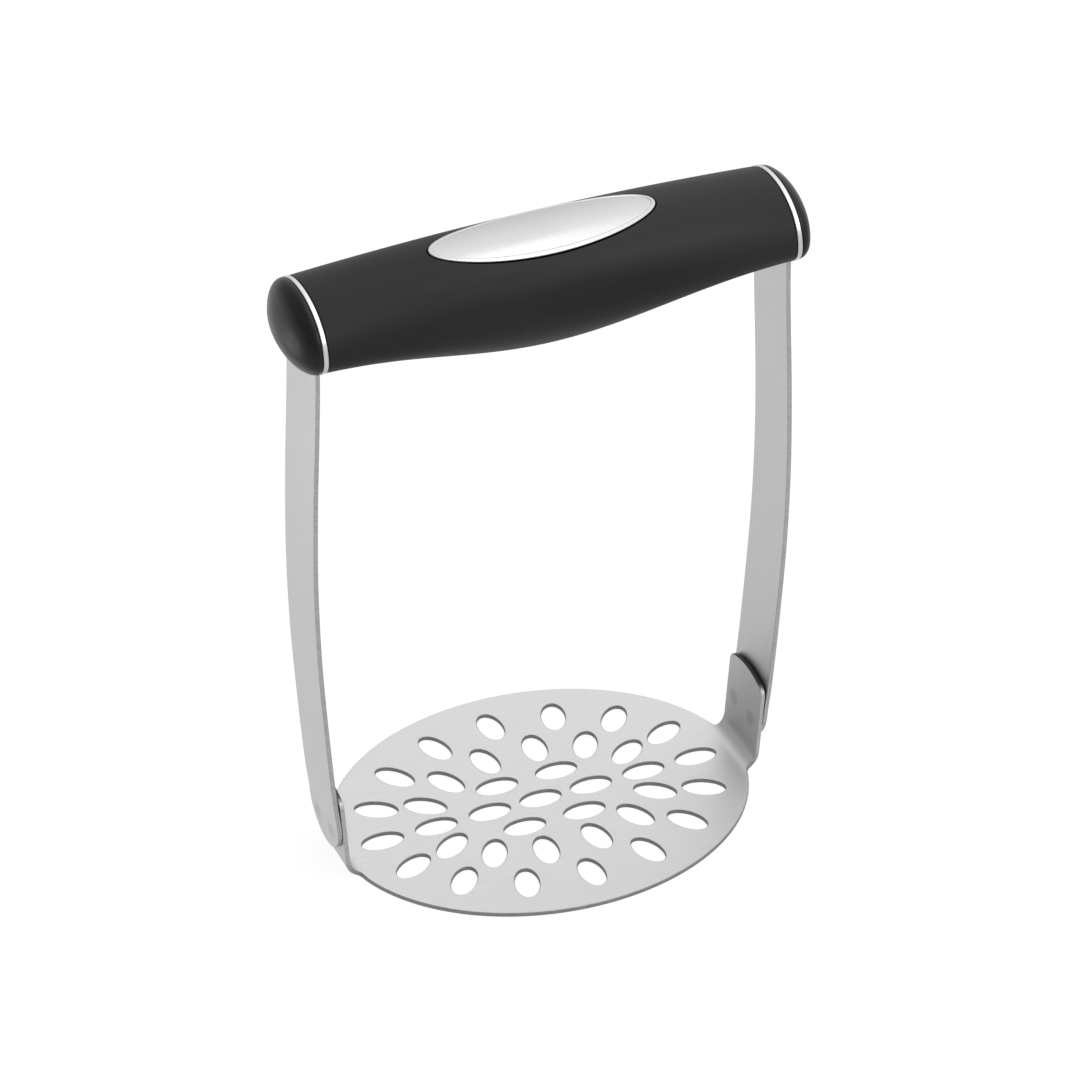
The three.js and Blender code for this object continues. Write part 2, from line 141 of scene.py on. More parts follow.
def make_piece(name, patches, node, material, mirror=False):
    """One closed mesh from its patches, with exact normals, in place of a CAD node."""
    table, faces, offset = [], [], 0
    for vertices, patch_faces in patches:
        table.append(vertices)
        faces += [tuple(i + offset for i in face) for face in patch_faces]
        offset += len(vertices)
    table = np.concatenate(table)
    _, first, same = np.unique(np.round(table[:, :3], 4), axis=0, return_index=True, return_inverse=True)
    table, same = table[first], same.ravel()
    welded = []
    for face in faces:
        face = [int(same[i]) for i in face]
        face = [v for i, v in enumerate(face) if v != face[i - 1]]
        if len(set(face)) > 2:
            welded.append(face)
    if mirror:
        table[:, [0, 3]] *= -1
    mesh = bpy.data.meshes.new(name)
    mesh.from_pydata((table[:, :3] * MM).tolist(), [], welded)
    work = bmesh.new()
    work.from_mesh(mesh)
    bmesh.ops.recalc_face_normals(work, faces=work.faces)
    work.to_mesh(mesh)
    work.free()
    layer = mesh.uv_layers.new(name="Sheet")
    corners = np.zeros(len(mesh.loops), np.int32)
    mesh.loops.foreach_get("vertex_index", corners)
    layer.data.foreach_set("uv", (table[corners, 6:8] * MM).astype(np.float32).ravel())
    # The edge grey written here holds painted shade and painted light on the plate's edges, and the steel's
    # own grey on the arms.
    for column, label in ((8, "cut"), (9, "edge_grey_and_painted_shading"), (10, "polish")):
        mark = mesh.attributes.new(label, "FLOAT", "POINT")
        mark.data.foreach_set("value", table[:, column].astype(np.float32))
    mesh.shade_smooth()
    normals = table[:, 3:6] / np.linalg.norm(table[:, 3:6], axis=1)[:, None]
    mesh.normals_split_custom_set_from_vertices(normals.tolist())
    mesh.materials.append(material)
    piece = bpy.data.objects.new(name, mesh)
    bpy.context.scene.collection.objects.link(piece)
    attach(piece, "root")
    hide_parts(node)
    return piece


# ------------------------------------------------------------- flat outlines
def oval(cx, cy, a, b, turn, count):
    t = np.arange(count) * 2 * np.pi / count
    x, y = a * np.cos(t), b * np.sin(t)
    return np.column_stack([cx + x * math.cos(turn) - y * math.sin(turn),
                            cy + x * math.sin(turn) + y * math.cos(turn)])


def line_to(start, end, step=0.6):
    start, end = np.array(start, float), np.array(end, float)
    count = max(2, int(np.linalg.norm(end - start) / step))
    return start + (end - start) * (np.arange(count) / count)[:, None]


def wound(points, left=True):
    """The closed line, turned so that its inside is on the left or on the right."""
    x, y = points[:, 0], points[:, 1]
    area = np.sum(x * np.roll(y, -1) - np.roll(x, -1) * y)
    return points if (area > 0) == left else points[::-1].copy()


def round_corner(points, corner, reach, steps=9):
    """Replaces the stretch of a closed line within reach of a corner by a curve."""
    corner = np.array(corner, float)
    near = np.linalg.norm(points - corner, axis=1) < reach
    start = int(np.argmin(near))
    points, near = np.roll(points, -start, axis=0), np.roll(near, -start)
    first = int(np.argmax(near))
    past = len(points) - int(np.argmax(near[::-1]))
    before, after = points[first - 1], points[past % len(points)]
    t = (np.arange(1, steps + 1) / (steps + 1))[:, None]
    curve = before * (1 - t) ** 2 + corner * 2 * t * (1 - t) + after * t ** 2
    return np.concatenate([points[:first], curve, points[past:]])


def outward(points):
    """Directions in the plane that point away from the material on the left."""
    ahead = np.roll(points, -1, axis=0) - np.roll(points, 1, axis=0)
    out = np.column_stack([ahead[:, 1], -ahead[:, 0]])
    return out / np.linalg.norm(out, axis=1)[:, None]


def inside(points, loops):
    """True for each point with material under it."""
    odd = np.zeros(len(points), bool)
    for loop in loops:
        x0, y0 = loop[:, 0], loop[:, 1]
        x1, y1 = np.roll(x0, -1), np.roll(y0, -1)
        px, py = points[:, 0:1], points[:, 1:2]
        spans = (y0 > py) != (y1 > py)
        rise = np.where(y1 == y0, 1e-12, y1 - y0)
        odd ^= (np.sum(spans & (px < (x1 - x0) * (py - y0) / rise + x0), axis=1) % 2) == 1
    return odd


def clear_of(points, loops, distance):
    keep = np.ones(len(points), bool)
    for loop in loops:
        gaps = np.linalg.norm(points[:, None, :] - loop[None, :, :], axis=2)
        keep &= gaps.min(axis=1) > distance
    return points[keep]


def triangles_in(loops, extra):
    """Triangles that fill the loops and use the extra points."""
    points = np.concatenate([*loops, extra])
    edges, start = [], 0
    for loop in loops:
        count = len(loop)
        edges += [(start + i, start + (i + 1) % count) for i in range(count)]
        start += count
    made = delaunay_2d_cdt([Vector(p) for p in points.tolist()], edges, [], 0, 1e-6)
    faces = [tuple(face) for face in made[2]]
    flat = np.array([tuple(v) for v in made[0]])
    middles = np.array([flat[list(face)].mean(axis=0) for face in faces])
    kept = inside(middles, loops)
    return flat, [face for face, good in zip(faces, kept) if good]


# -------------------------------------------------------------- bent sheet metal
def bent_rows(flat, depth, level, toward, line, cut=0.0, edge=(0.0, 0.0)):
    """Vertices of a bent sheet. The flat place is (along, across), depth is measured from
    the middle of the sheet, and the normal leans from the sheet's own by toward."""
    place, along = line(flat[:, 0])
    up = np.column_stack([-along[:, 1], along[:, 0]])
    xz = place + up * depth
    points = np.column_stack([xz[:, 0], flat[:, 1], xz[:, 1]])
    nxz = up * level + along * toward[:, 0:1]
    normal = np.column_stack([nxz[:, 0], toward[:, 1], nxz[:, 1]])
    return rows(points, normal, flat, cut, edge)


def sheet_patches(loops, grid, line, edge_of, steps=4):
    """Both faces of a bent sheet and the rounded edges round all its loops. edge_of gives
    the grey and the polish of the edge at each point of a loop."""
    outs = [outward(loop) for loop in loops]
    inset = [loop - out * SHEET_EDGE for loop, out in zip(loops, outs)]
    flat, faces = triangles_in(inset, grid)
    half = SHEET / 2
    still = np.zeros((len(flat), 2))
    patches = [(bent_rows(flat, half, 1.0, still, line), faces),
               (bent_rows(flat, -half, -1.0, still, line), faces)]
    turns = np.linspace(0, math.pi / 2, steps + 1)
    for loop, out in zip(loops, outs):
        edge = edge_of(loop)
        rings = []
        for side in (1, -1):
            order = turns if side > 0 else turns[::-1]
            for turn in order:
                drawn = loop - out * SHEET_EDGE * (1 - math.sin(turn))
                depth = side * (half - SHEET_EDGE * (1 - math.cos(turn)))
                rings.append(bent_rows(drawn, depth, side * math.cos(turn), out * math.sin(turn),
                                       line, math.sin(turn), edge))
        patches.append(skin_of_rings(rings))
    return patches


# ----------------------------------------------------------------------- plate
MIDDLE_RADIUS = BEND_RADIUS + SHEET / 2
BEND_TURN = math.pi / 2 - TAB_LEAN
BEND_CORNER = BEND_X + MIDDLE_RADIUS * math.tan(BEND_TURN / 2)    # where plate and tab would meet
BEND_LENGTH = 9.0              # the turn eases in and out over this length of sheet


def eased_bend(steps=400):
    """Places along a bend that starts at the origin, and how far it has turned there."""
    along = np.linspace(0, BEND_LENGTH, steps)
    share = along / BEND_LENGTH
    turn = BEND_TURN * share ** 2 * (3 - 2 * share)
    pieces = np.diff(along)[:, None] * np.column_stack([np.cos(turn), np.sin(turn)])[1:]
    return along, turn, np.concatenate([[(0.0, 0.0)], np.cumsum(pieces, axis=0)])


EASED_ALONG, EASED_TURN, EASED_PLACE = eased_bend()
BEND_START = BEND_CORNER - EASED_PLACE[-1, 0] + EASED_PLACE[-1, 1] / math.tan(BEND_TURN)


def plate_line(u):
    """Middle line of the plate and its tabs in X and Z, and its direction."""
    side, reach = np.sign(u), np.abs(u)
    bent = np.clip(reach - BEND_START, 0, BEND_LENGTH)
    past = np.maximum(reach - BEND_START - BEND_LENGTH, 0)
    turn = np.interp(bent, EASED_ALONG, EASED_TURN)
    x, z = (np.interp(bent, EASED_ALONG, EASED_PLACE[:, i]) for i in (0, 1))
    x = np.minimum(reach, BEND_START) + x + past * np.cos(turn)
    z = SHEET / 2 + z + past * np.sin(turn)
    place = np.column_stack([np.where(u < 0, -x, x), z])
    return place, np.column_stack([np.cos(turn), side * np.sin(turn)])


def tab_reach(y):
    """How far along the flat sheet the rounded top of a tab lies."""
    height = TAB_TOP - TAB_TOP_RADIUS + np.sqrt(TAB_TOP_RADIUS ** 2 - y ** 2)
    bend_top = SHEET / 2 + EASED_PLACE[-1, 1]
    return BEND_START + BEND_LENGTH + (height - bend_top) / math.sin(BEND_TURN)


def plate_outline():
    half = ARM_WIDTH / 2
    start = math.asin(half / PLATE_WIDTH)
    root = PLATE_LENGTH * math.cos(start)
    t = np.linspace(start, math.pi - start, 420)[:-1]
    rim = np.column_stack([PLATE_LENGTH * np.cos(t), PLATE_WIDTH * np.sin(t)])
    across = np.linspace(-half, half, 40)
    top = np.column_stack([tab_reach(across), across])
    tab = np.concatenate([line_to((root, -half), top[0], 0.35), top[:-1],
                          line_to(top[-1], (root, half), 0.35)])
    outline = np.concatenate([tab, rim, -tab, -rim])
    for side in (-1, 1):
        for depth in (-1, 1):
            outline = round_corner(outline, (side * root, depth * half), SHOULDER)
            corner = (side * tab_reach(half), depth * half)
            outline = round_corner(outline, corner, TAB_CORNER)
    return wound(outline)


def plate_holes():
    places = [(0, 0, 0)]
    for count, a, b, on_axis in ((OUTER_COUNT, OUTER_A, OUTER_B, OUTER_A),
                                 (INNER_COUNT, INNER_A, INNER_B, INNER_ON_AXIS)):
        for i in range(count):
            t = 2 * math.pi * i / count
            reach = on_axis if i % (count // 2) == 0 else a
            turn = math.atan2(reach * math.sin(t), b * math.cos(t))
            places.append((reach * math.cos(t), b * math.sin(t), turn))
    for side in (-1, 1):
        places.append((side * CENTRE_ALONG, 0, 0))
        for depth in (-1, 1):
            places.append((side * CENTRE_DIAGONAL_X, depth * CENTRE_DIAGONAL_Y, 0))
    return [wound(oval(x, y, HOLE_LENGTH, HOLE_WIDTH, turn, 56), left=False) for x, y, turn in places]


def grid_over(us, vs):
    u, v = np.meshgrid(us, vs)
    return np.column_stack([u.ravel(), v.ravel()])


def plate_edge(loop):
    """Greys of the plate's cut edges, partly the sheared steel's own grey and partly painted light and shade:
    the punched holes and rim are painted dark as shade, the tabs' sides are painted bright as light, and
    their tops are painted almost black as the shadow in the gap under the arms.
    """
    reach = np.abs(loop[:, 0])
    # The edge grey runs from the rim's painted shade to painted light on the tab sides.
    side = np.interp(reach, (BEND_START + 3.0, BEND_START + BEND_LENGTH), (RIM_EDGE_PAINTED_SHADE, TAB_SIDE_EDGE_PAINTED_LIGHT))
    # The tab tops fade to an almost black painted shadow, standing in for the shade in the narrow gap between
    # tab and arm.
    top = tab_reach(ARM_WIDTH / 2)
    edge_grey_and_painted_shading = np.interp(reach, (top - 0.2, top + 1.0), (0.0, 1.0))
    edge_grey_and_painted_shading = side + (TAB_TOP_PAINTED_SHADOW - side) * edge_grey_and_painted_shading
    # Hole walls: the sheared steel's grey darkened as painted shade inside the holes.
    if loop[:, 0].max() - loop[:, 0].min() < PLATE_LENGTH:
        edge_grey_and_painted_shading = np.full(len(loop), HOLE_EDGE_PAINTED_SHADE)
    return np.column_stack([edge_grey_and_painted_shading, np.zeros(len(loop))])


def plate_patches():
    loops = [plate_outline(), *plate_holes()]
    flat_part = grid_over(np.linspace(-BEND_START, BEND_START, 62),
                          np.linspace(-PLATE_WIDTH, PLATE_WIDTH, 52))
    bend_u = np.linspace(BEND_START + 0.3, BEND_START + BEND_LENGTH, 26)
    tab_u = np.linspace(BEND_START + BEND_LENGTH + 1.5, tab_reach(0), 13)
    bend_part = grid_over(np.concatenate([bend_u, tab_u]), np.linspace(-ARM_WIDTH, ARM_WIDTH, 31))
    grid = np.concatenate([flat_part, bend_part, bend_part * (-1, 1)])
    grid = clear_of(grid[inside(grid, loops)], loops, 0.55)
    return sheet_patches(loops, grid, plate_line, plate_edge)


# ------------------------------------------------------------------------- arms
def beside_tab(out, up):
    x = BEND_X + out * math.cos(TAB_LEAN) + up * math.sin(TAB_LEAN)
    z = SHEET + BEND_RADIUS - out * math.sin(TAB_LEAN) + up * math.cos(TAB_LEAN)
    return x, z


def through(points, steps=60):
    """Smooth line through points, even in its steps between each two."""
    points = np.array(points, float)
    ends = np.concatenate([points[:1], points, points[-1:]])
    made = []
    for i in range(len(points) - 1):
        p0, p1, p2, p3 = ends[i:i + 4]
        t = (np.arange(steps) / steps)[:, None]
        v0, v1 = (p2 - p0) / 2, (p3 - p1) / 2
        made.append((2 * p1 - 2 * p2 + v0 + v1) * t ** 3 + (3 * p2 - 3 * p1 - 2 * v0 - v1) * t ** 2
                    + v0 * t + p1)
    return np.concatenate([*made, points[-1:]])


WELD_OUT = BEND_RADIUS + SHEET + SEAM + SHEET / 2
WELD_Y, WELD_ALONG = 4.6, 8.2                   # the spot welds, across and up a tab
ARM_POINTS = through([beside_tab(WELD_OUT, 0), beside_tab(WELD_OUT, WELDED_LENGTH), *zip(BOW_X, BOW_Z),
                      (HEAD_X, AXIS_Z - END_DOWN - SHEET), (HEAD_X, AXIS_Z + END_UP + SHEET)])
ARM_ALONG = np.concatenate([[0], np.cumsum(np.linalg.norm(np.diff(ARM_POINTS, axis=0), axis=1))])
ARM_TURN = np.gradient(ARM_POINTS, ARM_ALONG, axis=0)


def arm_line(u):
    place = np.column_stack([np.interp(u, ARM_ALONG, ARM_POINTS[:, i]) for i in (0, 1)])
    along = np.column_stack([np.interp(u, ARM_ALONG, ARM_TURN[:, i]) for i in (0, 1)])
    return place, along / np.linalg.norm(along, axis=1)[:, None]


def along_arm(points):
    """Turns places (Y, Z) into places on the flat strap (along, across)."""
    return np.column_stack([np.interp(points[:, 1], ARM_POINTS[:, 1], ARM_ALONG), points[:, 0]])


def section_outline(proud, count=240):
    angle = np.arange(count) * 2 * np.pi / count
    place, _ = skin(np.full(count, HEAD_X), angle, proud)
    return place[:, 1:3]


def arm_patches():
    half = ARM_WIDTH / 2
    head = section_outline(HEAD_PROUD)
    wide = (HEAD_PROUD + END_HALF_WIDTH, HEAD_PROUD + END_DOWN)
    neck = AXIS_Z - wide[1] * (1 - (half / wide[0]) ** DOWN_POWER) ** (1 / DOWN_POWER)
    head = head[(np.abs(head[:, 0]) > half + 0.05) | (head[:, 1] > AXIS_Z)]
    start = int(np.argmin(np.where(head[:, 0] > 0, head[:, 1], np.inf)))
    head = np.roll(head, -start, axis=0)
    foot_turn = np.linspace(math.pi, 2 * math.pi, 60)
    foot = np.column_stack([half * np.cos(foot_turn), FOOT_Z + half + half * np.sin(foot_turn)])
    outline = np.concatenate([line_to((half, FOOT_Z + half), (half, neck), 0.8), head,
                              line_to((-half, neck), (-half, FOOT_Z + half), 0.8), foot[:-1]])
    for side in (-1, 1):
        outline = round_corner(outline, (side * half, neck), NECK_CORNER)
    loops = [wound(along_arm(outline))]
    holes = [oval(0, AXIS_Z + BORE_Z, BORE_RADIUS, BORE_RADIUS, 0, 48)]
    holes += [oval(y, AXIS_Z + BORE_Z, PILOT_RADIUS, PILOT_RADIUS, 0, 28) for y in (-PILOT_Y, PILOT_Y)]
    loops += [wound(along_arm(hole), left=False) for hole in holes]
    top = loops[0][:, 0].max()
    grid = grid_over(np.linspace(0.5, top, 150), np.linspace(-END_HALF_WIDTH, END_HALF_WIDTH, 27))
    grid = clear_of(grid[inside(grid, loops)], loops, 0.6)
    neck_at = np.interp(neck + NECK_CORNER, ARM_POINTS[:, 1], ARM_ALONG)

    def arm_edge(loop):
        head = loop[:, 0] > neck_at
        return np.column_stack([np.where(head, POLISHED_EDGE, ARM_EDGE), head])

    return sheet_patches(loops, grid, arm_line, arm_edge)


# ----------------------------------------------------------------------- handle
def section(x):
    """Half width, height and depth of the handle at x."""
    u = np.minimum(np.abs(x) / HEAD_X, 1)
    crown, belly = 1 - u * u, 0.5 * (1 + np.cos(np.pi * u))
    return (END_HALF_WIDTH + (MID_HALF_WIDTH - END_HALF_WIDTH) * crown,
            END_UP + (MID_UP - END_UP) * crown,
            END_DOWN + (MID_DOWN - END_DOWN) * belly)


def powered(value, power):
    return np.sign(value) * np.abs(value) ** (2 / power)


def skin(x, angle, lift):
    """Places on the handle, lifted off its skin, and the skin's normals there.
    The angle turns from +Y towards +Z."""
    x = np.asarray(x, float)
    upper = np.sin(angle) >= 0
    power = np.where(upper, UP_POWER, DOWN_POWER)
    near, far = section(x - 0.01), section(x + 0.01)
    wide, high, low = section(x)
    tall = np.where(upper, high, low)
    wide_slope = (far[0] - near[0]) / 0.02
    tall_slope = np.where(upper, far[1] - near[1], far[2] - near[2]) / 0.02
    y = wide * powered(np.cos(angle), power)
    z = tall * powered(np.sin(angle), power)
    share_y, share_z = np.abs(y / wide), np.abs(z / tall)
    normal = np.column_stack([
        -(share_y ** power * wide_slope / wide + share_z ** power * tall_slope / tall),
        share_y ** (power - 1) * np.sign(y) / wide,
        share_z ** (power - 1) * np.sign(z) / tall])
    normal /= np.linalg.norm(normal, axis=1)[:, None]
    place = np.column_stack([x, y, AXIS_Z + z])
    return place + normal * np.reshape(lift, (-1, 1)), normal


def crown_angle(x, y):
    wide = section(x)[0]
    return np.arccos(np.sign(y) * np.abs(y / wide) ** (UP_POWER / 2))


def crown_ring(shrink, lift, tilt, count=CROWN_STEPS):
    """Ring on the crown of the handle round the badge. Shrink is measured in from the
    badge's edge, and tilt turns the normal outwards from the skin's."""
    t = np.arange(count) * 2 * np.pi / count
    a, b = BADGE_LENGTH - shrink, BADGE_WIDTH - shrink
    x, y = a * np.cos(t), BADGE_Y + b * np.sin(t)
    place, normal = skin(x, crown_angle(x, y), lift)
    out = np.column_stack([b * np.cos(t), a * np.sin(t), np.zeros(count)])
    out -= normal * np.sum(out * normal, axis=1)[:, None]
    out /= np.linalg.norm(out, axis=1)[:, None]
    return rows(place, normal * math.cos(tilt) + out * math.sin(tilt))


def crown_disc(shrink, lift, turn_over=1.0):
    """Fills a crown ring with shrinking rings."""
    rings = []
    for share in np.linspace(0, 1, 13)[:-1]:
        t = np.arange(CROWN_STEPS) * 2 * np.pi / CROWN_STEPS
        a = (BADGE_LENGTH - shrink) * (1 - share)
        b = (BADGE_WIDTH - shrink) * (1 - share)
        x, y = a * np.cos(t), BADGE_Y + b * np.sin(t)
        place, normal = skin(x, crown_angle(x, y), lift)
        rings.append(rows(place, normal * turn_over))
    hub, up = skin(np.zeros(1), crown_angle(np.zeros(1), np.full(1, BADGE_Y)), lift)
    return [skin_of_rings(rings), fan(rings[-1], hub[0], up[0] * turn_over)]


def grip_patches():
    spread = 15.0                               # mm of skin for each radian of turn
    end = GRIP_END - GRIP_ROUND
    low, high = -math.pi / 2, 1.5 * math.pi
    xs = np.linspace(-end, end, GRIP_STEPS)
    angles = np.linspace(low, high, GRIP_AROUND + 1)
    border = np.concatenate([
        np.column_stack([xs[:-1], np.full(GRIP_STEPS - 1, low)]),
        np.column_stack([np.full(GRIP_AROUND, end), angles[:-1]]),
        np.column_stack([xs[:0:-1], np.full(GRIP_STEPS - 1, high)]),
        np.column_stack([np.full(GRIP_AROUND, -end), angles[:0:-1]])])
    t = np.arange(CROWN_STEPS) * 2 * np.pi / CROWN_STEPS
    a, b = BADGE_LENGTH + GAP + RECESS_LIP, BADGE_WIDTH + GAP + RECESS_LIP
    x, y = a * np.cos(t), BADGE_Y + b * np.sin(t)
    edge = np.column_stack([x, crown_angle(x, y)])
    stretch = np.array([1.0, spread])
    loops = [wound(border * stretch), wound(edge * stretch, left=False)]
    grid = grid_over(xs[1:-1], angles[1:-1] * spread)
    grid = clear_of(grid[inside(grid, loops)], loops[1:], 0.5)
    flat, faces = triangles_in(loops, grid)
    place, normal = skin(flat[:, 0], flat[:, 1] / spread, 0.0)
    patches = [(rows(place, normal), faces)]
    # rounded ends, flat end faces and the bore
    angles = angles[:-1]
    bore = []
    for side in (-1, 1):
        rings = []
        for turn in np.linspace(0, math.pi / 2, 6):
            x = side * (GRIP_END - GRIP_ROUND * (1 - math.sin(turn)))
            inward = GRIP_ROUND * (1 - math.cos(turn))
            _, flat_normal = skin(np.full(GRIP_AROUND, side * end), angles, 0.0)
            place, _ = skin(np.full(GRIP_AROUND, x), angles, -inward)
            normal = flat_normal * math.cos(turn) + np.array([side, 0, 0]) * math.sin(turn)
            place[:, 0] = x
            rings.append(rows(place, normal))
        place, _ = skin(np.full(GRIP_AROUND, side * GRIP_END), angles, -GRIP_WALL)
        place[:, 0] = side * GRIP_END
        rings.append(rows(place, np.tile([side, 0.0, 0.0], (GRIP_AROUND, 1))))
        patches.append(skin_of_rings(rings))
    for x in np.linspace(-GRIP_END, GRIP_END, 40):
        place, normal = skin(np.full(GRIP_AROUND, x), angles, -GRIP_WALL)
        place[:, 0] = x
        bore.append(rows(place, -normal))
    patches.append(skin_of_rings(bore))
    # the recess for the badge: a soft lip, a wall and a floor
    rings = []
    for turn in np.linspace(0, math.pi / 2, 6):
        shrink = -GAP - RECESS_LIP * (1 - math.sin(turn))
        rings.append(crown_ring(shrink, -RECESS_LIP * (1 - math.cos(turn)), -turn))
    rings.append(crown_ring(-GAP, -RECESS_DEPTH, -math.pi / 2))
    patches.append(skin_of_rings(rings))
    patches += crown_disc(-GAP, -RECESS_DEPTH)
    return patches


def badge_patches():
    top, bottom = BADGE_TOP, BADGE_BOTTOM
    rings = [crown_ring(0, bottom, math.pi / 2)]
    for turn in np.linspace(math.pi / 2, 0, 8):
        shrink = BADGE_ROUND * (1 - math.sin(turn))
        rings.append(crown_ring(shrink, top - BADGE_ROUND * (1 - math.cos(turn)), turn))
    ramp = math.radians(35)
    rings.append(crown_ring(BADGE_RIM - 0.12, top, 0))
    rings.append(crown_ring(BADGE_RIM - 0.04, top - 0.01, -ramp))
    rings.append(crown_ring(BADGE_RIM + 0.08, top - BADGE_STEP + 0.01, -ramp))
    rings.append(crown_ring(BADGE_RIM + 0.16, top - BADGE_STEP, 0))
    face = crown_disc(BADGE_RIM + 0.16, top - BADGE_STEP)
    back = crown_disc(0, bottom, -1.0)
    return [skin_of_rings(rings), *face, *back]


def cap_ring(x, inset, scale, turn, count=CAP_AROUND):
    """Ring of the right end cap; turn is how far its normal has swung towards +X."""
    angles = np.arange(count) * 2 * np.pi / count
    place, normal = skin(np.full(count, HEAD_X), angles, -inset)
    yz = (place[:, 1:3] - (0, AXIS_Z)) * scale + (0, AXIS_Z)
    place = np.column_stack([np.full(count, x), yz])
    normal = normal * (0, 1, 1)
    normal /= np.linalg.norm(normal, axis=1)[:, None]
    return rows(place, normal * math.cos(turn) + np.array([math.sin(turn), 0, 0]))


def dome_rings(x0, depth, inset, sign=1.0, count=34):
    """Rings of a dome from its mouth almost to its middle, with their true slopes."""
    rings = []
    reach = (END_UP + END_DOWN) / 2 + 2
    for turn in np.linspace(0, math.radians(88), count):
        out, scale = powered(math.sin(turn), CAP_POWER), powered(math.cos(turn), CAP_POWER)
        steep = math.atan2(out ** (CAP_POWER - 1) / depth, scale ** (CAP_POWER - 1) / reach)
        ring = cap_ring(x0 + depth * out, inset, scale, steep)
        ring[:, 3:6] *= sign
        rings.append(ring)
    return rings


def cap_patches():
    rings = []
    for turn in np.linspace(-math.pi / 2, 0, 6):
        drop = CAP_ROUND * (1 - math.cos(turn))
        rings.append(cap_ring(CAP_BASE + CAP_ROUND * (1 + math.sin(turn)), drop, 1.0, turn))
    rings += dome_rings(CAP_BASE + CAP_ROUND, CAP_DEPTH - CAP_ROUND, 0)[1:]
    tip = (CAP_BASE + CAP_DEPTH, 0, AXIS_Z)
    hollow = dome_rings(CAP_BASE, CAP_DEPTH - CAP_WALL, CAP_WALL, -1.0)
    mouth = [cap_ring(CAP_BASE, inset, 1.0, -math.pi / 2) for inset in (CAP_ROUND, CAP_WALL)]
    inner_tip = (CAP_BASE + CAP_DEPTH - CAP_WALL, 0, AXIS_Z)
    peg = []
    # distance from the base, radius, and how far the normal has turned towards +X
    outline = ((-PEG_LENGTH, PEG_RADIUS - 0.8, -math.pi / 2),
               (-PEG_LENGTH, PEG_RADIUS - 0.6, -1.4),
               (-PEG_LENGTH + 0.25, PEG_RADIUS - 0.2, -0.8),
               (-PEG_LENGTH + 0.7, PEG_RADIUS, 0),
               (CAP_DEPTH - CAP_WALL, PEG_RADIUS, 0))
    for x, radius, turn in outline:
        t = np.arange(PEG_AROUND) * 2 * np.pi / PEG_AROUND
        y, z = radius * np.cos(t), AXIS_Z + BORE_Z + radius * np.sin(t)
        place = np.column_stack([np.full(PEG_AROUND, CAP_BASE + x), y, z])
        normal = np.column_stack([np.full(PEG_AROUND, math.sin(turn)),
                                  np.cos(t) * math.cos(turn), np.sin(t) * math.cos(turn)])
        peg.append(rows(place, normal))
    peg_end = fan(peg[0], (CAP_BASE - PEG_LENGTH, 0, AXIS_Z + BORE_Z), (-1, 0, 0))
    peg_root = fan(peg[-1], (CAP_BASE + CAP_DEPTH - CAP_WALL, 0, AXIS_Z + BORE_Z), (1, 0, 0))
    return [skin_of_rings(rings), fan(rings[-1], tip, (1, 0, 0)), skin_of_rings(mouth), skin_of_rings(hollow),
            fan(hollow[-1], inner_tip, (-1, 0, 0)), skin_of_rings(peg), peg_end, peg_root]


